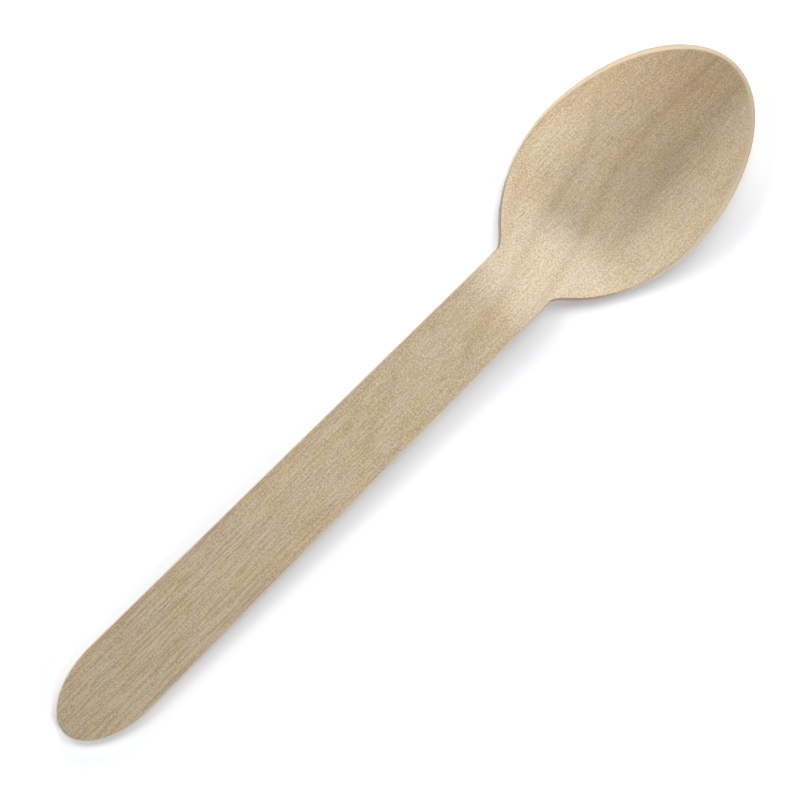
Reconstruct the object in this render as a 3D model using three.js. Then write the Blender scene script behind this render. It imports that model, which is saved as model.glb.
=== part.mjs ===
// A disposable wooden spoon: one piece of birch veneer, cut to its outline and pressed hot into a
// shallow bowl. Millimetres, +X along the spoon towards the bowl's tip, +Y across it, +Z up.
// It lies as it rests on a table, on the end of its handle and the bottom of its bowl. The origin
// is on the table, under the middle of the spoon.
import * as THREE from "three";

// The outline from above.
const SPOON_LENGTH = 160;
const HANDLE_END_WIDTH = 14.6;
const HANDLE_END_ROUNDING = 13.3; // length of the half ellipse at the handle's end
const NECK_WIDTH = 12.7;
const NECK_FILLET = 2.4; // height over which the handle's side turns into the bowl's
const BOWL_WIDTH = 34.3;
const BOWL_BACK = 24.2; // from the bowl's widest place back to where its oval would close
const BOWL_BACK_POWER = 1.87; // 2 is an ellipse, and less is more pointed
const BOWL_FRONT = 27.6; // from the bowl's widest place to its tip
const BOWL_FRONT_POWER = 1.95;

// The veneer and its pressed shape.
const THICKNESS = 1.7;
const EDGE_ROUNDING = 0.2; // taken off both edges of the cut by sanding
const BOWL_DROP = 5; // from the handle down to the floor of the bowl
const RAMP_BEFORE_BOWL = 8.7; // how far before the bowl's oval the handle starts to bend
const RAMP_BEND_DOWN = 8.5; // length of the bend at the top of the ramp
const RAMP_STRAIGHT = 7.5;
const RAMP_BEND_UP = 8.5; // length of the bend at the foot of the ramp
const TIP_RISE = 7.2; // from the floor of the bowl up to its tip
const SIDE_RISE = 3.4; // from the floor of the bowl up to its sides at the widest place
const SIDES_START = 4.5; // how far past the top of the ramp the sides begin to curl up
const SIDES_BEND = 8; // length over which the curl sets in; ahead of it the curl grows evenly to the tip

// The grid over the veneer: how many steps each stretch has along the spoon, and how many across.
const END_STEPS = 4;
const HANDLE_STEPS = 8;
const RAMP_STEPS = 18;
const BOWL_STEPS = 14;
const STEPS_ACROSS = 10;
const LAYERS = 3; // a rounded edge, the cut face and the other rounded edge
const CORNER_ANGLE = Math.PI / 4; // where the grid's corners lie on the round ends

const bowlMiddle = SPOON_LENGTH - BOWL_FRONT;
const bowlStart = bowlMiddle - BOWL_BACK;
const rampTop = bowlStart - RAMP_BEFORE_BOWL;
const rampTopEnd = rampTop + RAMP_BEND_DOWN;
const rampFootStart = rampTopEnd + RAMP_STRAIGHT;
const rampFoot = rampFootStart + RAMP_BEND_UP;
const sidesFrom = rampTop + SIDES_START;
const sidesTo = sidesFrom + SIDES_BEND;

// The slopes that reach the drop and the rise.
const rampSlope = BOWL_DROP / ((rampFootStart + rampFoot) / 2 - (rampTop + rampTopEnd) / 2);
const tipSlope = TIP_RISE / ((SPOON_LENGTH - rampFoot) / 2);
const crossCurve = SIDE_RISE / (BOWL_WIDTH / 2) ** 2;

// The larger of two widths, with the corner between them filled over a height of NECK_FILLET.
function filletedLarger(a, b) {
  const near = Math.max(NECK_FILLET - Math.abs(a - b), 0);
  return Math.max(a, b) + near ** 2 / (4 * NECK_FILLET);
}

// Half the bowl's width at x, on an outline that lies inset inside the real one.
function bowlHalfWidth(x, inset) {
  const half = BOWL_WIDTH / 2 - inset;
  const ahead = x > bowlMiddle;
  const reach = (ahead ? BOWL_FRONT : BOWL_BACK) - inset;
  const power = ahead ? BOWL_FRONT_POWER : BOWL_BACK_POWER;
  const share = Math.min(Math.abs(x - bowlMiddle) / reach, 1);
  return half * (1 - share ** power) ** (1 / power);
}

// Half the handle's width at x: a round end and then a gentle taper to the neck.
function handleHalfWidth(x, inset) {
  const along = THREE.MathUtils.clamp((x - HANDLE_END_ROUNDING) / (bowlStart - HANDLE_END_ROUNDING), 0, 1);
  const half = THREE.MathUtils.lerp(HANDLE_END_WIDTH, NECK_WIDTH, along) / 2 - inset;
  const back = Math.max(HANDLE_END_ROUNDING - x, 0) / (HANDLE_END_ROUNDING - inset);
  return half * Math.sqrt(Math.max(1 - back ** 2, 0));
}

function halfWidth(x, inset) {
  return filletedLarger(handleHalfWidth(x, inset), bowlHalfWidth(x, inset));
}

// A point on the round end of the handle, with side from -1 to 1 between the grid's corners.
function handleEndPoint(side, inset) {
  const angle = side * CORNER_ANGLE;
  const x = HANDLE_END_ROUNDING - (HANDLE_END_ROUNDING - inset) * Math.cos(angle);
  return [x, (HANDLE_END_WIDTH / 2 - inset) * Math.sin(angle)];
}

// A point on the tip of the bowl, in the same way.
function tipPoint(side, inset) {
  const angle = Math.abs(side) * CORNER_ANGLE;
  const power = 2 / BOWL_FRONT_POWER;
  const x = bowlMiddle + (BOWL_FRONT - inset) * Math.cos(angle) ** power;
  return [x, Math.sign(side) * (BOWL_WIDTH / 2 - inset) * Math.sin(angle) ** power];
}

// The places along the side of the spoon where the grid has its columns.
function columnPlaces(inset) {
  const ends = [handleEndPoint(1, inset)[0], HANDLE_END_ROUNDING, rampTop, rampFoot, tipPoint(1, inset)[0]];
  const steps = [END_STEPS, HANDLE_STEPS, RAMP_STEPS, BOWL_STEPS];
  const places = [ends[0]];
  steps.forEach((count, stretch) => {
    for (let step = 1; step <= count; step++) {
      places.push(THREE.MathUtils.lerp(ends[stretch], ends[stretch + 1], step / count));
    }
  });
  return places;
}

// A point of the flat blank in a column of the grid. The columns bow out to meet the round ends.
function blankPoint(place, side, inset) {
  const half = halfWidth(place, inset);
  let x = place;
  let y = side * half;
  for (const [endPoint, reach] of [[handleEndPoint, HANDLE_END_ROUNDING], [tipPoint, BOWL_FRONT]]) {
    const corner = endPoint(1, inset);
    const bow = Math.max(1 - Math.abs(place - corner[0]) / reach, 0);
    const end = endPoint(side, inset);
    x += bow * (end[0] - corner[0]);
    y += bow * (end[1] - side * corner[1]);
  }
  return [x, y];
}

// How far a line has moved at x after a bend from start to end that turns it by a slope of 1.
function bend(x, start, end) {
  const inside = THREE.MathUtils.clamp(x - start, 0, end - start);
  return inside ** 2 / (2 * (end - start)) + Math.max(x - end, 0);
}

// Height of the veneer's underside, counted from the handle's own underside.
function pressedHeight(x, y) {
  const down = -rampSlope * bend(x, rampTop, rampTopEnd);
  const level = rampSlope * bend(x, rampFootStart, rampFoot);
  const rise = tipSlope * bend(x, rampFoot, SPOON_LENGTH);
  const curl = bend(x, sidesFrom, sidesTo) / bend(bowlMiddle, sidesFrom, sidesTo);
  return down + level + rise + crossCurve * curl * y ** 2;
}

// The way through the veneer at a point, from its underside to its upper face.
function faceNormal(x, y) {
  const step = 0.01;
  const alongX = (pressedHeight(x + step, y) - pressedHeight(x - step, y)) / (2 * step);
  const alongY = (pressedHeight(x, y + step) - pressedHeight(x, y - step)) / (2 * step);
  return new THREE.Vector3(-alongX, -alongY, 1).normalize();
}

// The veneer is a box of grid cells, moved to the blank's outline and then pressed to shape.
function spoonGeometry() {
  const columns = END_STEPS + HANDLE_STEPS + RAMP_STEPS + BOWL_STEPS;
  const geometry = new THREE.BoxGeometry(columns, 2, LAYERS, columns, STEPS_ACROSS, LAYERS);
  const points = geometry.getAttribute("position");
  const fullPlaces = columnPlaces(0);
  const insetPlaces = columnPlaces(EDGE_ROUNDING);
  for (let i = 0; i < points.count; i++) {
    const layer = Math.round(points.getZ(i) + LAYERS / 2);
    const outer = layer === 0 || layer === LAYERS;
    const inset = outer ? EDGE_ROUNDING : 0;
    const place = (outer ? insetPlaces : fullPlaces)[Math.round(points.getX(i) + columns / 2)];
    const [x, y] = blankPoint(place, points.getY(i), inset);
    const fromFace = outer ? 0 : EDGE_ROUNDING;
    const level = layer < LAYERS / 2 ? fromFace : THICKNESS - fromFace;
    const point = new THREE.Vector3(x, y, pressedHeight(x, y)).addScaledVector(faceNormal(x, y), level);
    points.setXYZ(i, point.x, point.y, point.z);
  }
  geometry.computeVertexNormals();
  return geometry;
}

// The angle by which the handle rises from the table when its end and the bowl both touch it.
function restingTilt(geometry) {
  const points = geometry.getAttribute("position");
  let steepest = 0;
  for (let i = 0; i < points.count; i++) {
    if (points.getX(i) > rampTop) {
      steepest = Math.min(steepest, points.getZ(i) / (points.getX(i) - EDGE_ROUNDING));
    }
  }
  return Math.atan(-steepest);
}

function makeSpoon() {
  const wood = new THREE.MeshStandardMaterial({ color: 0xcdb893, roughness: 0.7, metalness: 0 });
  const spoon = new THREE.Mesh(spoonGeometry(), wood);
  spoon.name = "spoon";
  spoon.rotation.y = -restingTilt(spoon.geometry);
  const reach = new THREE.Box3().setFromObject(spoon, true);
  spoon.position.set(-(reach.min.x + reach.max.x) / 2, 0, -reach.min.z);
  return spoon;
}

const cutlery = new THREE.Group();
cutlery.add(makeSpoon());

export default cutlery;
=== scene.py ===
"""A disposable birch spoon on a white table, seen from above."""
import math

import bpy
import numpy as np
from mathutils import Matrix, Vector


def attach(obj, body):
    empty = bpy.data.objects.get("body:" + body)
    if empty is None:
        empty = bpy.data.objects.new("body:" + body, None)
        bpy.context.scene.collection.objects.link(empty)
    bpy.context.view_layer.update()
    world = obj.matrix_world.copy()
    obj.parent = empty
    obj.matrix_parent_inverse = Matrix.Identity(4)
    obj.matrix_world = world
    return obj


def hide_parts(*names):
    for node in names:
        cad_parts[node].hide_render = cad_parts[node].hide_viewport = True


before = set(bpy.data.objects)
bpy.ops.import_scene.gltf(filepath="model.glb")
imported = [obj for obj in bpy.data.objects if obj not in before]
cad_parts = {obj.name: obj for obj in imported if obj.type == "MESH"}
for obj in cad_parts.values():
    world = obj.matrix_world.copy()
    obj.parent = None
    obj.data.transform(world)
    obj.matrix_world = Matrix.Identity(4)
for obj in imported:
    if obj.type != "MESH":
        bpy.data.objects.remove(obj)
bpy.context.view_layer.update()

MM = 0.001  # in metres

# The outline from above, in millimetres.
SPOON_LENGTH = 160.0
HANDLE_END_WIDTH = 14.6
HANDLE_END_ROUNDING = 13.3  # length of the half ellipse at the handle's end
NECK_WIDTH = 12.7
NECK_FILLET = 2.4  # height over which the handle's side turns into the bowl's
BOWL_WIDTH = 34.3
BOWL_BACK = 24.2  # from the bowl's widest place back to where its oval would close
BOWL_BACK_POWER = 1.87  # 2 is an ellipse, and less is more pointed
BOWL_FRONT = 27.6  # from the bowl's widest place to its tip
BOWL_FRONT_POWER = 1.95

# The veneer and its pressed shape, in millimetres.
THICKNESS = 1.7
EDGE_ROUNDING = 0.2  # taken off both edges of the cut by sanding
BOWL_DROP = 5.0  # from the handle down to the floor of the bowl
RAMP_BEFORE_BOWL = 8.7  # how far before the bowl's oval the handle starts to bend
RAMP_BEND_DOWN = 8.5  # length of the bend at the top of the ramp
RAMP_STRAIGHT = 7.5
RAMP_BEND_UP = 8.5  # length of the bend at the foot of the ramp
TIP_RISE = 7.2  # from the floor of the bowl up to its tip
SIDE_RISE = 3.4  # from the floor of the bowl up to its sides at the widest place
SIDES_START = 4.5  # how far past the top of the ramp the sides begin to curl up
SIDES_BEND = 8.0  # length over which the curl sets in; ahead of it the curl grows evenly to the tip

# Places counted from the end of the handle, the slopes that reach the drop and the rise, and the
# sides' curve, all of which follow from the sizes above.
BOWL_MIDDLE = SPOON_LENGTH - BOWL_FRONT
BOWL_START = BOWL_MIDDLE - BOWL_BACK
RAMP_TOP = BOWL_START - RAMP_BEFORE_BOWL
RAMP_TOP_END = RAMP_TOP + RAMP_BEND_DOWN
RAMP_FOOT_START = RAMP_TOP_END + RAMP_STRAIGHT
RAMP_FOOT = RAMP_FOOT_START + RAMP_BEND_UP
RAMP_SLOPE = BOWL_DROP / ((RAMP_FOOT_START + RAMP_FOOT) / 2 - (RAMP_TOP + RAMP_TOP_END) / 2)
TIP_SLOPE = TIP_RISE / ((SPOON_LENGTH - RAMP_FOOT) / 2)
SIDES_FROM = RAMP_TOP + SIDES_START
SIDES_TO = SIDES_FROM + SIDES_BEND
CROSS_CURVE = SIDE_RISE / (BOWL_WIDTH / 2) ** 2

# The grid over the veneer: how many steps each stretch has along it, how many there are across it and
# round each edge of the cut, and where the grid's corners lie on the round ends.
END_STEPS = 24
HANDLE_STEPS = 130
RAMP_STEPS = 90
BOWL_STEPS = 110
STEPS_ACROSS = 84
EDGE_STEPS = 4
CORNER_ANGLE = math.pi / 4

# The camera. The turn is anticlockwise from a spoon that points to the right of the picture, the
# distance is in metres, and the aim's height above the table and the sensor's width in millimetres.
PICTURE_SIZE = 800
MM_PER_PIXEL = 0.16882
SPOON_TURN = math.radians(44.9)
SPOON_MIDDLE_PIXEL = (399.1, 399.3)
CAMERA_DISTANCE = 1.2
AIM_HEIGHT = 3.0
SENSOR = 36.0

# The soft lamps: azimuth from +X towards +Y and elevation in degrees, distance and size in metres,
# and watts. The sky's light is the strength of what comes from all round.
LAMPS = {
    "left": (90, 52, 0.50, 0.22, 0.72),
    "far_left": (135, 28, 0.50, 0.25, 0.45),
    "right": (270, 54, 0.50, 0.25, 0.49),
    "low_right": (270, 15, 0.60, 0.25, 1.74),
    "behind": (16, 58, 0.45, 0.25, 0.64),
    "low_behind": (50, 15, 0.60, 0.25, 1.89),
}
SKY_LIGHT = 0.02

# The floor's size and the distances from the spoon's middle between which it turns plain white, in
# metres, its colour to the camera, which is white in full light, and its colour to other light.
FLOOR_SIZE = 6.0
FLOOR_TURNS_WHITE = (0.11, 0.16)
FLOOR_TO_CAMERA = (1.205, 1.228, 1.275, 1)
FLOOR_TO_LIGHT = (0.8, 0.8, 0.8, 1)
WHITE = (1, 1, 1, 1)

# The wood's own colours, as linear red, green, blue and alpha.
WOOD_PALE = (0.625, 0.508, 0.368, 1)
WOOD_DEEP = (0.398, 0.313, 0.197, 1)
WOOD_CUT = (0.610, 0.490, 0.330, 1)

# Tints that are multiplied with them.
HONEY = (1.000, 0.960, 0.820, 1)
WARM = (1.000, 0.940, 0.840, 1)
BROWN = (0.720, 0.640, 0.540, 1)
# Painted shade on the cut edge round the bowl's back, where it faces away from the light.
BACK_EDGE_SHADE = (0.550, 0.450, 0.400, 1)

# The wood's noises: waves in each millimetre along, across and through the veneer, and finer detail.
FIBRES = ((0.35, 5.4, 5.4), 0.0)
STREAKS = ((0.12, 5.0, 5.0), 0.0)
GRAIN = ((2.8, 6.4, 6.4), 0.0)
THREADS = ((0.06, 1.3, 1.3), 1.0)
PORES = ((0.7, 4.5, 4.5), 0.0)
CLOUDS = ((0.12, 0.5, 0.5), 2.0)
PATCHES = ((0.03, 0.12, 0.12), 1.0)

# How strongly each noise moves the wood from its deep colour to its pale one, and how much more the
# streaks do that on the handle.
FIBRE_TONE = 1.6
GRAIN_TONE = 3.9
STREAK_TONE = 0.3
HANDLE_STREAK_TONE = 2.0
THREAD_TONE = 0.3
PATCH_TONE = 0.2

# The strengths of the wood's other looks.
LINE_BREAK = 1.5  # how strongly the fibres break up the growth lines
PORE_STRENGTH = 0.6
CUT_STRENGTH = 0.8  # how far the cut edge's own colour hides the faces' colour on it
# How far the cut edge turns brown at its upper corner and takes painted shade on its lower part toward the
# tip.
CUT_BROWN_AND_SHADE = 0.8
UPPER_BROWN = 0.55  # share of that brown at the cut edge's upper corner

# Where a look sets in: there is none of it at the first value and all of it at the second. These two
# are values of a noise.
HONEY_CLOUDS = (-0.2, 0.25)
DARK_PORES = (0.2, 0.35)

# These are places along the spoon, in millimetres from the end of the handle.
HANDLE_STREAKS = (100.0, 30.0)
WARM_TIP = (118.0, 160.0)
# Where the painted shade on the cut face's lower part sets in toward the tip.
LOWER_SHADE_TOWARD_TIP = (132.0, 152.0)
# Where the painted shade on the cut edge round the bowl's back begins and ends.
BACK_EDGE_SHADE_BEGINS = (106.0, 110.0)
BACK_EDGE_SHADE_ENDS = (123.0, 114.0)

# And these are levels in the cut face, in millimetres above the underside.
# The lower part of the cut face takes painted shade.
LOWER_PAINTED_SHADE = (0.9, 0.1)
UPPER_CORNER = (1.3, 1.55)

# The wood's sheen, and the depth in millimetres of the relief of its fibres, with the grain's share.
SHEEN_LEVEL = 0.75
SHEEN_ROUGHNESS = 0.36
FIBRE_ROUGHNESS = 0.2
FIBRE_RELIEF = 0.008
GRAIN_RELIEF = 0.7

# The wood's darker growth lines, and last two darker bands along the handle's edges: strength, half
# width, and places along them in the flat blank, in millimetres from the handle's end and from the
# middle line. Each fades over LINE_FADE at both ends.
LINE_FADE = 6.0
GROWTH_LINES = [
    (0.20, 1.1, [(36, -4.3), (48, -4.1), (61, -4.4)]),
    (0.15, 0.8, [(37, 0.2), (49, 0.5), (60, 0.3)]),
    (0.15, 0.8, [(40, 1.6), (52, 1.4), (62, 2.0)]),
    (0.30, 1.0, [(64, -4.6), (74.3, 0.0), (77.7, 1.5), (88, 5.6)]),
    (0.25, 1.0, [(64, 0.2), (71.7, 3.2), (81, 6.0)]),
    (0.40, 1.1, [
        (86, -5.4), (96.2, -1.7), (106.4, 0.7), (115.6, 3.7), (126.6, 6.2), (132.5, 7.9), (142, 14.7),
    ]),
    (0.40, 1.0, [(103, -6.4), (118.2, -3.0), (128.3, 0.3), (136.7, 2.2), (145.2, 3.0), (160, 3.7)]),
    (0.25, 1.3, [(122, -8.6), (130.8, -7.3), (136.7, -5.6), (143.5, -4.4), (160, -3.3)]),
    (0.25, 1.0, [(108, 5.6), (119, 11.3), (128, 17)]),
    (0.25, 1.0, [(140, -16.4), (153.6, -9.8)]),
    (0.25, 0.9, [(148, 10.6), (160, 4.6)]),
    (0.55, 0.4, [(147, 3.4), (154, 3.2), (166, 2.8)]),
    (0.45, 0.4, [(147, -3.7), (155, -3.5), (166, -3.3)]),
    (0.40, 0.5, [(136, 4.4), (144, 3.8), (150, 2.5), (158, 1.6)]),
    # These two are darker bands along both edges of the handle.
    (0.25, 1.3, [(8, 7.2), (60, 6.8), (108, 6.3)]),
    (0.25, 1.3, [(8, -7.2), (60, -6.8), (108, -6.3)]),
]

# Broad soft places where the spoon is paler or darker: painted shade in the bowl's hollow and towards
# its tip and painted light on the ramp and the bowl's sides, mixed with the wood's own tone. Each gives
# its change of tone, place and reach in the blank.
SHADE_LIGHT_AND_TONE_FIELDS = [
    (-0.14, (18, 0), (32, 30)),
    (-0.07, (0, 0), (7, 12)),
    (0.15, (111.5, -2), (11, 14)),
    (0.27, (128, 15), (18, 6)),
    (0.14, (121, -14), (13, 6)),
    (-0.20, (121, 2), (4.5, 4.5)),
    (-0.08, (102, 6.5), (9, 3)),
    (-0.09, (112, 10), (5, 3.5)),
    (-0.06, (112, -10), (4, 3)),
    (-0.12, (146, -4), (26, 12)),
    (-0.18, (138, -5.0), (14, 4.4)),
    (-0.15, (160, 0), (9, 12)),
]


def filleted_larger(a, b):
    """The larger of two widths, with the corner between them filled over a height of NECK_FILLET."""
    near = np.maximum(NECK_FILLET - np.abs(a - b), 0)
    return np.maximum(a, b) + near ** 2 / (4 * NECK_FILLET)


def bowl_half_width(x, inset):
    """Half the bowl's width at x, on an outline that lies inset inside the real one."""
    half = BOWL_WIDTH / 2 - inset
    ahead = x > BOWL_MIDDLE
    reach = np.where(ahead, BOWL_FRONT, BOWL_BACK) - inset
    power = np.where(ahead, BOWL_FRONT_POWER, BOWL_BACK_POWER)
    share = np.minimum(np.abs(x - BOWL_MIDDLE) / reach, 1)
    return half * (1 - share ** power) ** (1 / power)


def handle_half_width(x, inset):
    """Half the handle's width at x: a round end and then a gentle taper to the neck."""
    along = np.clip((x - HANDLE_END_ROUNDING) / (BOWL_START - HANDLE_END_ROUNDING), 0, 1)
    half = (HANDLE_END_WIDTH + (NECK_WIDTH - HANDLE_END_WIDTH) * along) / 2 - inset
    back = np.maximum(HANDLE_END_ROUNDING - x, 0) / (HANDLE_END_ROUNDING - inset)
    return half * np.sqrt(np.maximum(1 - back ** 2, 0))


def handle_end_point(side, inset):
    """A point on the handle's round end, with side from -1 to 1 between the grid's corners."""
    angle = side * CORNER_ANGLE
    x = HANDLE_END_ROUNDING - (HANDLE_END_ROUNDING - inset) * np.cos(angle)
    return x, (HANDLE_END_WIDTH / 2 - inset) * np.sin(angle)


def tip_point(side, inset):
    """A point on the bowl's tip, in the same way."""
    angle = np.abs(side) * CORNER_ANGLE
    power = 2 / BOWL_FRONT_POWER
    x = BOWL_MIDDLE + (BOWL_FRONT - inset) * np.cos(angle) ** power
    return x, np.sign(side) * (BOWL_WIDTH / 2 - inset) * np.sin(angle) ** power


def column_places(inset):
    """The places along the side of the spoon where the grid has its columns."""
    ends = [handle_end_point(1, inset)[0], HANDLE_END_ROUNDING, RAMP_TOP, RAMP_FOOT, tip_point(1, inset)[0]]
    steps = [END_STEPS, HANDLE_STEPS, RAMP_STEPS, BOWL_STEPS]
    places = [np.array(ends[:1])]
    for start, end, count in zip(ends, ends[1:], steps):
        places.append(np.linspace(start, end, count + 1)[1:])
    return np.concatenate(places)


def blank_grid(inset):
    """The flat blank's grid points, as arrays of x and y with one row for each column of the grid."""
    place = column_places(inset)[:, None]
    side = np.linspace(-1, 1, STEPS_ACROSS + 1)[None, :]
    half = filleted_larger(handle_half_width(place, inset), bowl_half_width(place, inset))
    x = place + 0 * side
    y = side * half
    for end_point, reach in ((handle_end_point, HANDLE_END_ROUNDING), (tip_point, BOWL_FRONT)):
        corner_x, corner_y = end_point(1, inset)
        end_x, end_y = end_point(side, inset)
        bow = np.maximum(1 - np.abs(place - corner_x) / reach, 0)
        x = x + bow * (end_x - corner_x)
        y = y + bow * (end_y - side * corner_y)
    return x, y


def bend(x, start, end):
    """How far a line has moved at x after a bend from start to end that turns it by a slope of 1."""
    inside = np.clip(x - start, 0, end - start)
    return inside ** 2 / (2 * (end - start)) + np.maximum(x - end, 0)


def pressed_height(x, y):
    """Height of the veneer's underside, counted from the handle's own underside."""
    down = -RAMP_SLOPE * bend(x, RAMP_TOP, RAMP_TOP_END)
    level = RAMP_SLOPE * bend(x, RAMP_FOOT_START, RAMP_FOOT)
    rise = TIP_SLOPE * bend(x, RAMP_FOOT, SPOON_LENGTH)
    curl = bend(x, SIDES_FROM, SIDES_TO) / bend(BOWL_MIDDLE, SIDES_FROM, SIDES_TO)
    return down + level + rise + CROSS_CURVE * curl * y ** 2


def pressed_points(blank):
    """Where pressing takes points of the flat blank, given as x, y and level above its underside."""
    x, y, level = blank.T
    step = 0.01
    along_x = (pressed_height(x + step, y) - pressed_height(x - step, y)) / (2 * step)
    along_y = (pressed_height(x, y + step) - pressed_height(x, y - step)) / (2 * step)
    normal = np.stack([-along_x, -along_y, np.ones_like(x)], -1)
    normal /= np.linalg.norm(normal, axis=-1, keepdims=True)
    return np.stack([x, y, pressed_height(x, y)], -1) + normal * level[:, None]


def around(grid):
    """A grid's border points in order, once round."""
    return np.concatenate([grid[:-1, 0], grid[-1, :-1], grid[:0:-1, -1], grid[0, :0:-1]])


def edge_rows():
    """Inset and level of each row of the cut edge, from the underside to the upper face."""
    angles = np.linspace(0, math.pi / 2, EDGE_STEPS + 1)
    lower = [(EDGE_ROUNDING * (1 - math.sin(a)), EDGE_ROUNDING * (1 - math.cos(a))) for a in angles]
    upper = [(inset, THICKNESS - level) for inset, level in reversed(lower)]
    return lower + upper


def blank_points(x, y, level):
    """Points of the flat blank at one level, as rows of x, y and level."""
    return np.stack([x, y, np.full_like(x, level)], -1).reshape(-1, 3)


def grid_quads(index):
    """The quads between the points of a grid, facing up."""
    a, b, c, d = index[:-1, :-1], index[1:, :-1], index[1:, 1:], index[:-1, 1:]
    return np.stack([a, b, c, d], -1).reshape(-1, 4)


def spoon_mesh():
    """The veneer as one closed mesh: its points in the flat blank, its quads, and 1 on the cut face."""
    x, y = blank_grid(EDGE_ROUNDING)
    lower = np.arange(x.size).reshape(x.shape)
    upper = lower + x.size
    blank = [blank_points(x, y, 0.0), blank_points(x, y, THICKNESS)]
    rings = [around(lower)]
    count = 2 * x.size
    for inset, level in edge_rows()[1:-1]:
        ring_x, ring_y = (around(one) for one in blank_grid(inset))
        blank.append(blank_points(ring_x, ring_y, level))
        rings.append(np.arange(count, count + ring_x.size))
        count += ring_x.size
    rings.append(around(upper))
    turned_over = [0, 3, 2, 1]
    quads = [grid_quads(lower)[:, turned_over], grid_quads(upper)]
    for low, high in zip(rings, rings[1:]):
        quads.append(np.stack([low, np.roll(low, -1), np.roll(high, -1), high], -1))
    cut = np.arange(count) >= 2 * x.size
    return np.concatenate(blank), np.concatenate(quads), cut


def laid_down(points):
    """The points in metres as the spoon rests on the table, on the end of its handle and its bowl."""
    bowl = points[points[:, 0] > RAMP_TOP]
    tilt = math.atan(-np.min(bowl[:, 2] / (bowl[:, 0] - EDGE_ROUNDING)))
    x = points[:, 0] * math.cos(tilt) - points[:, 2] * math.sin(tilt)
    z = points[:, 0] * math.sin(tilt) + points[:, 2] * math.cos(tilt)
    middle = (x.min() + x.max()) / 2
    return np.stack([x - middle, points[:, 1], z - z.min()], -1) * MM


def smooth_curve(x, line_x, line_y):
    """A smooth curve through the given points, held level past its ends."""
    slope = np.gradient(line_y, line_x)
    inside = np.clip(x, line_x[0], line_x[-1])
    k = np.clip(np.searchsorted(line_x, inside) - 1, 0, len(line_x) - 2)
    gap = line_x[k + 1] - line_x[k]
    u = (inside - line_x[k]) / gap
    rise = line_y[k] * (1 + 2 * u) * (1 - u) ** 2 + line_y[k + 1] * u ** 2 * (3 - 2 * u)
    return rise + gap * u * (1 - u) * (slope[k] * (1 - u) - slope[k + 1] * u)


def growth_shade(x, y):
    """How dark the growth lines and the bands along the handle's edges make the wood, 0 to about 1, at
    points of the flat blank.
    """
    shade = np.zeros_like(x)
    for strength, half_width, places in GROWTH_LINES:
        line_x, line_y = np.array(places, float).T
        from_ends = np.minimum(x - line_x[0], line_x[-1] - x)
        strength = strength * np.clip(from_ends / LINE_FADE, 0, 1)
        off = (y - smooth_curve(x, line_x, line_y)) / half_width
        shade = np.maximum(shade, strength * np.exp(-off ** 2))
    return shade


def painted_shade_light_and_tone(x, y):
    """How bright the broad fields of painted shade and light, mixed with the wood's own tone, make points
    of the flat blank, with 1 as plain wood.
    """
    tone = np.ones_like(x)
    for change, place, reach in SHADE_LIGHT_AND_TONE_FIELDS:
        off = ((x - place[0]) / reach[0]) ** 2 + ((y - place[1]) / reach[1]) ** 2
        tone += change * np.exp(-off)
    return tone


def make_spoon():
    """The pressed veneer, whose points keep what the wood's material reads."""
    blank, quads, cut = spoon_mesh()
    x, y, _ = blank.T
    mesh = bpy.data.meshes.new("spoon_veneer")
    mesh.from_pydata(laid_down(pressed_points(blank)).tolist(), [], quads.tolist())
    mesh.polygons.foreach_set("use_smooth", [True] * len(mesh.polygons))
    for name, kind, field, values in (
        ("blank", "FLOAT_VECTOR", "vector", blank),
        ("growth", "FLOAT", "value", growth_shade(x, y)),
        # The tone attribute carries the broad fields' painted shade and light, mixed with the wood's own
        # tone.
        ("tone", "FLOAT", "value", painted_shade_light_and_tone(x, y)),
        ("cut", "FLOAT", "value", cut),
    ):
        mesh.attributes.new(name, kind, "POINT").data.foreach_set(field, values.astype(np.float32).ravel())
    mesh.update()
    piece = bpy.data.objects.new("spoon_veneer", mesh)
    bpy.context.scene.collection.objects.link(piece)
    return piece


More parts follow.
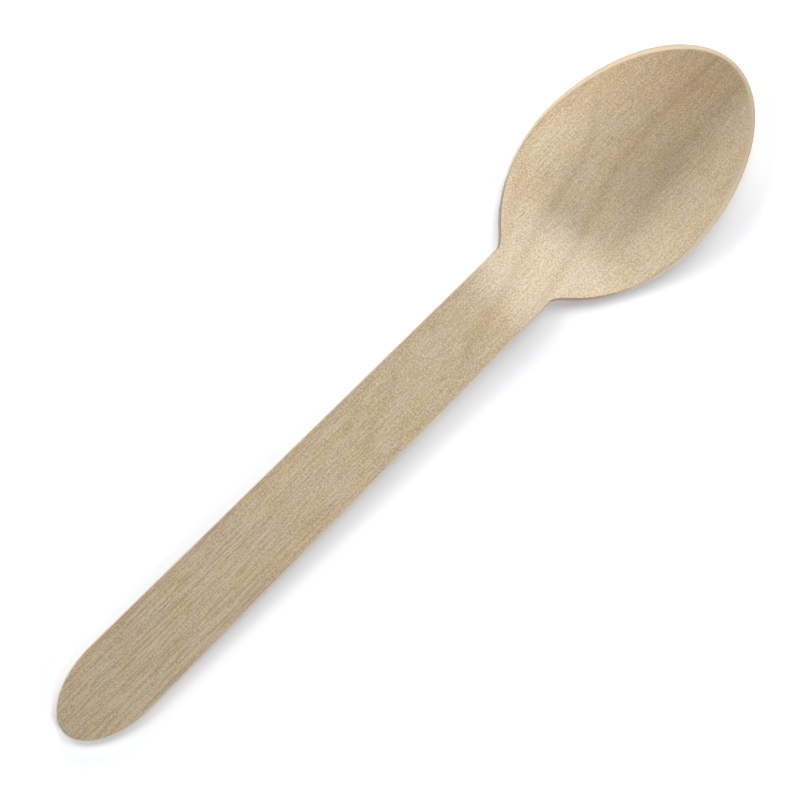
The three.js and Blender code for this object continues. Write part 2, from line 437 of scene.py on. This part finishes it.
class Graph:
    """The nodes of a material or a world, with a short call for each kind that is used."""

    def __init__(self, owner):
        owner.use_nodes = True
        self.tree = owner.node_tree

    def node(self, kind, inputs, **settings):
        node = self.tree.nodes.new(kind)
        for name, value in settings.items():
            setattr(node, name, value)
        for key, value in inputs.items():
            if isinstance(value, bpy.types.NodeSocket):
                self.tree.links.new(value, node.inputs[key])
            else:
                node.inputs[key].default_value = value
        return node

    def attribute(self, name, output):
        return self.node("ShaderNodeAttribute", {}, attribute_name=name).outputs[output]

    def math(self, operation, a, b=0.0, c=0.0):
        return self.node("ShaderNodeMath", {0: a, 1: b, 2: c}, operation=operation).outputs[0]

    def noise(self, place, stretch, detail):
        """Noise from -0.5 to 0.5 about its mean, with so many waves in each millimetre of place."""
        spread = self.node("ShaderNodeVectorMath", {0: place, 1: stretch}, operation="MULTIPLY").outputs[0]
        inputs = {"Vector": spread, "Scale": 1.0, "Detail": detail}
        return self.math("SUBTRACT", self.node("ShaderNodeTexNoise", inputs).outputs[0], 0.5)

    def ramp(self, value, none_at, all_at):
        """0 where value is at or past none_at, 1 where it is at or past all_at, and smooth between."""
        inputs = {"Value": value, "From Min": none_at, "From Max": all_at}
        return self.node("ShaderNodeMapRange", inputs, interpolation_type="SMOOTHSTEP").outputs[0]

    def mix(self, factor, a, b, **settings):
        inputs = {"Factor": factor, 6: a, 7: b}
        return self.node("ShaderNodeMix", inputs, data_type="RGBA", **settings).outputs[2]

    def tinted(self, colour, tint, amount):
        """The colour multiplied with a tint, as far as amount says."""
        return self.mix(amount, colour, tint, blend_type="MULTIPLY")

    def seen(self):
        """1 for rays from the camera, in reflections and through clear things, and 0 for other light."""
        ray = self.node("ShaderNodeLightPath", {}).outputs
        beyond = self.math("MAXIMUM", ray["Is Glossy Ray"], ray["Is Transmission Ray"])
        return self.math("MAXIMUM", ray["Is Camera Ray"], beyond)


def face_tone(wood, place, along, fibres, grain):
    """Where the noises put the wood between its deep colour, at 0, and its pale one, at 1."""
    on_handle = wood.ramp(along, *HANDLE_STREAKS)
    streak_tone = wood.math("MULTIPLY_ADD", on_handle, HANDLE_STREAK_TONE, STREAK_TONE)
    tone = 0.5
    for noise, strength in (
        (fibres, FIBRE_TONE),
        (grain, GRAIN_TONE),
        (wood.noise(place, *STREAKS), streak_tone),
        (wood.noise(place, *THREADS), THREAD_TONE),
        (wood.noise(place, *PATCHES), PATCH_TONE),
    ):
        tone = wood.math("MULTIPLY_ADD", noise, strength, tone)
    return tone


def face_colour(wood, place, along, fibres, grain):
    """The faces of the veneer: fibres and grain, honey clouds, growth lines, broad fields of painted shade
    and light mixed with the wood's tone, and pores.
    """
    colour = wood.mix(face_tone(wood, place, along, fibres, grain), WOOD_DEEP, WOOD_PALE)
    clouds = wood.noise(place, *CLOUDS)
    colour = wood.tinted(colour, HONEY, wood.ramp(clouds, *HONEY_CLOUDS))
    colour = wood.tinted(colour, WARM, wood.ramp(along, *WARM_TIP))
    broken = wood.math("MULTIPLY_ADD", fibres, LINE_BREAK, 1.0)
    lines = wood.math("MULTIPLY", wood.attribute("growth", "Fac"), broken)
    colour = wood.tinted(colour, BROWN, lines)
    # The tone attribute brightens and darkens the colour with painted shade and light mixed with the wood's
    # own tone.
    inputs = {0: colour, "Scale": wood.attribute("tone", "Fac")}
    colour = wood.node("ShaderNodeVectorMath", inputs, operation="SCALE").outputs[0]
    pores = wood.ramp(wood.noise(place, *PORES), *DARK_PORES)
    return wood.tinted(colour, BROWN, wood.math("MULTIPLY", pores, PORE_STRENGTH))


def cut_colour(wood, face, along, level):
    """The face's colour, and a cut edge that is plainer and brown at its upper corner, with painted shade
    on its lower part toward the tip and round the bowl's back.
    """
    cut = wood.attribute("cut", "Fac")
    colour = wood.mix(wood.math("MULTIPLY", cut, CUT_STRENGTH), face, WOOD_CUT)
    # Painted shade on the lower part of the cut face, toward the tip.
    lower = wood.math("MULTIPLY", wood.ramp(level, *LOWER_PAINTED_SHADE), wood.ramp(along, *LOWER_SHADE_TOWARD_TIP))
    brown = wood.math("MULTIPLY_ADD", wood.ramp(level, *UPPER_CORNER), UPPER_BROWN, lower)
    brown = wood.math("MULTIPLY", brown, CUT_BROWN_AND_SHADE)
    colour = wood.tinted(colour, BROWN, wood.math("MULTIPLY", cut, brown))
    # Painted shade on the cut edge round the bowl's back.
    back_edge_shade = wood.math("MULTIPLY", wood.ramp(along, *BACK_EDGE_SHADE_BEGINS), wood.ramp(along, *BACK_EDGE_SHADE_ENDS))
    return wood.tinted(colour, BACK_EDGE_SHADE, wood.math("MULTIPLY", cut, back_edge_shade))


def birch():
    """Birch veneer with a faint pressed sheen, whose grain follows the flat blank's own places."""
    material = bpy.data.materials.new("birch")
    wood = Graph(material)
    place = wood.attribute("blank", "Vector")
    along, _, level = wood.node("ShaderNodeSeparateXYZ", {0: place}).outputs
    fibres = wood.noise(place, *FIBRES)
    grain = wood.noise(place, *GRAIN)
    face = face_colour(wood, place, along, fibres, grain)
    relief = wood.math("MULTIPLY_ADD", grain, GRAIN_RELIEF, fibres)
    bump = wood.node("ShaderNodeBump", {"Strength": 1.0, "Distance": FIBRE_RELIEF * MM, "Height": relief})
    shader = wood.tree.nodes["Principled BSDF"]
    shader.inputs["Specular IOR Level"].default_value = SHEEN_LEVEL
    for name, value in (
        ("Base Color", cut_colour(wood, face, along, level)),
        ("Roughness", wood.math("MULTIPLY_ADD", fibres, FIBRE_ROUGHNESS, SHEEN_ROUGHNESS)),
        ("Normal", bump.outputs[0]),
    ):
        wood.tree.links.new(value, shader.inputs[name])
    return material


def white_paper():
    """White paper: it takes the spoon's shadow, and turns to plain white away from the spoon."""
    material = bpy.data.materials.new("white_paper")
    paper = Graph(material)
    nodes = paper.tree.nodes
    nodes.remove(nodes["Principled BSDF"])
    place = paper.node("ShaderNodeTexCoord", {}).outputs["Object"]
    away = paper.node("ShaderNodeVectorMath", {0: place}, operation="LENGTH").outputs["Value"]
    far = paper.ramp(away, *FLOOR_TURNS_WHITE)
    lit = paper.node("ShaderNodeBsdfDiffuse", {"Color": FLOOR_TO_CAMERA}).outputs[0]
    plain = paper.node("ShaderNodeBsdfDiffuse", {"Color": FLOOR_TO_LIGHT}).outputs[0]
    white = paper.node("ShaderNodeEmission", {"Color": WHITE, "Strength": 1.0}).outputs[0]
    to_camera = paper.node("ShaderNodeMixShader", {0: far, 1: lit, 2: white}).outputs[0]
    surface = paper.node("ShaderNodeMixShader", {0: paper.seen(), 1: plain, 2: to_camera}).outputs[0]
    paper.tree.links.new(surface, nodes["Material Output"].inputs["Surface"])
    return material


def make_floor():
    bpy.ops.mesh.primitive_plane_add(size=FLOOR_SIZE)
    floor = bpy.context.object
    floor.name = "floor"
    floor.data.materials.append(white_paper())


def make_lamps():
    for name, (azimuth, elevation, distance, size, watts) in LAMPS.items():
        turn, rise = math.radians(azimuth), math.radians(elevation)
        away = Vector((math.cos(rise) * math.cos(turn), math.cos(rise) * math.sin(turn), math.sin(rise)))
        light = bpy.data.lights.new(name, "AREA")
        light.shape = "DISK"
        light.size = size
        light.energy = watts
        lamp = bpy.data.objects.new(name, light)
        lamp.location = away * distance
        lamp.rotation_euler = away.to_track_quat("Z", "Y").to_euler()
        bpy.context.scene.collection.objects.link(lamp)


def make_camera():
    """A long lens straight above the spoon, with the spoon at its place and turn in the picture."""
    right = Vector((math.cos(SPOON_TURN), -math.sin(SPOON_TURN), 0))
    up = Vector((math.sin(SPOON_TURN), math.cos(SPOON_TURN), 0))
    back = Vector((0, 0, 1))
    shift_x = PICTURE_SIZE / 2 - SPOON_MIDDLE_PIXEL[0]
    shift_y = SPOON_MIDDLE_PIXEL[1] - PICTURE_SIZE / 2
    target = (right * shift_x + up * shift_y) * MM_PER_PIXEL * MM + back * AIM_HEIGHT * MM
    lens = bpy.data.cameras.new("camera")
    lens.sensor_width = SENSOR
    lens.lens = SENSOR * CAMERA_DISTANCE / (PICTURE_SIZE * MM_PER_PIXEL * MM)
    camera = bpy.data.objects.new("camera", lens)
    bpy.context.scene.collection.objects.link(camera)
    turn = Matrix((right, up, back)).transposed()
    camera.matrix_world = Matrix.Translation(target + back * CAMERA_DISTANCE) @ turn.to_4x4()
    bpy.context.scene.camera = camera


def make_world():
    """White to the camera and in reflections, and a faint light from all round otherwise."""
    world = bpy.data.worlds.new("studio")
    sky = Graph(world)
    strength = sky.node("ShaderNodeMapRange", {"Value": sky.seen(), "To Min": SKY_LIGHT, "To Max": 1.0})
    background = sky.tree.nodes["Background"]
    background.inputs["Color"].default_value = WHITE
    sky.tree.links.new(strength.outputs[0], background.inputs["Strength"])
    bpy.context.scene.world = world


make_camera()
make_floor()
make_lamps()
make_world()
spoon = make_spoon()
spoon.data.materials.append(birch())
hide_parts("spoon")
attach(spoon, "root")
bpy.context.scene.view_settings.view_transform = "Standard"
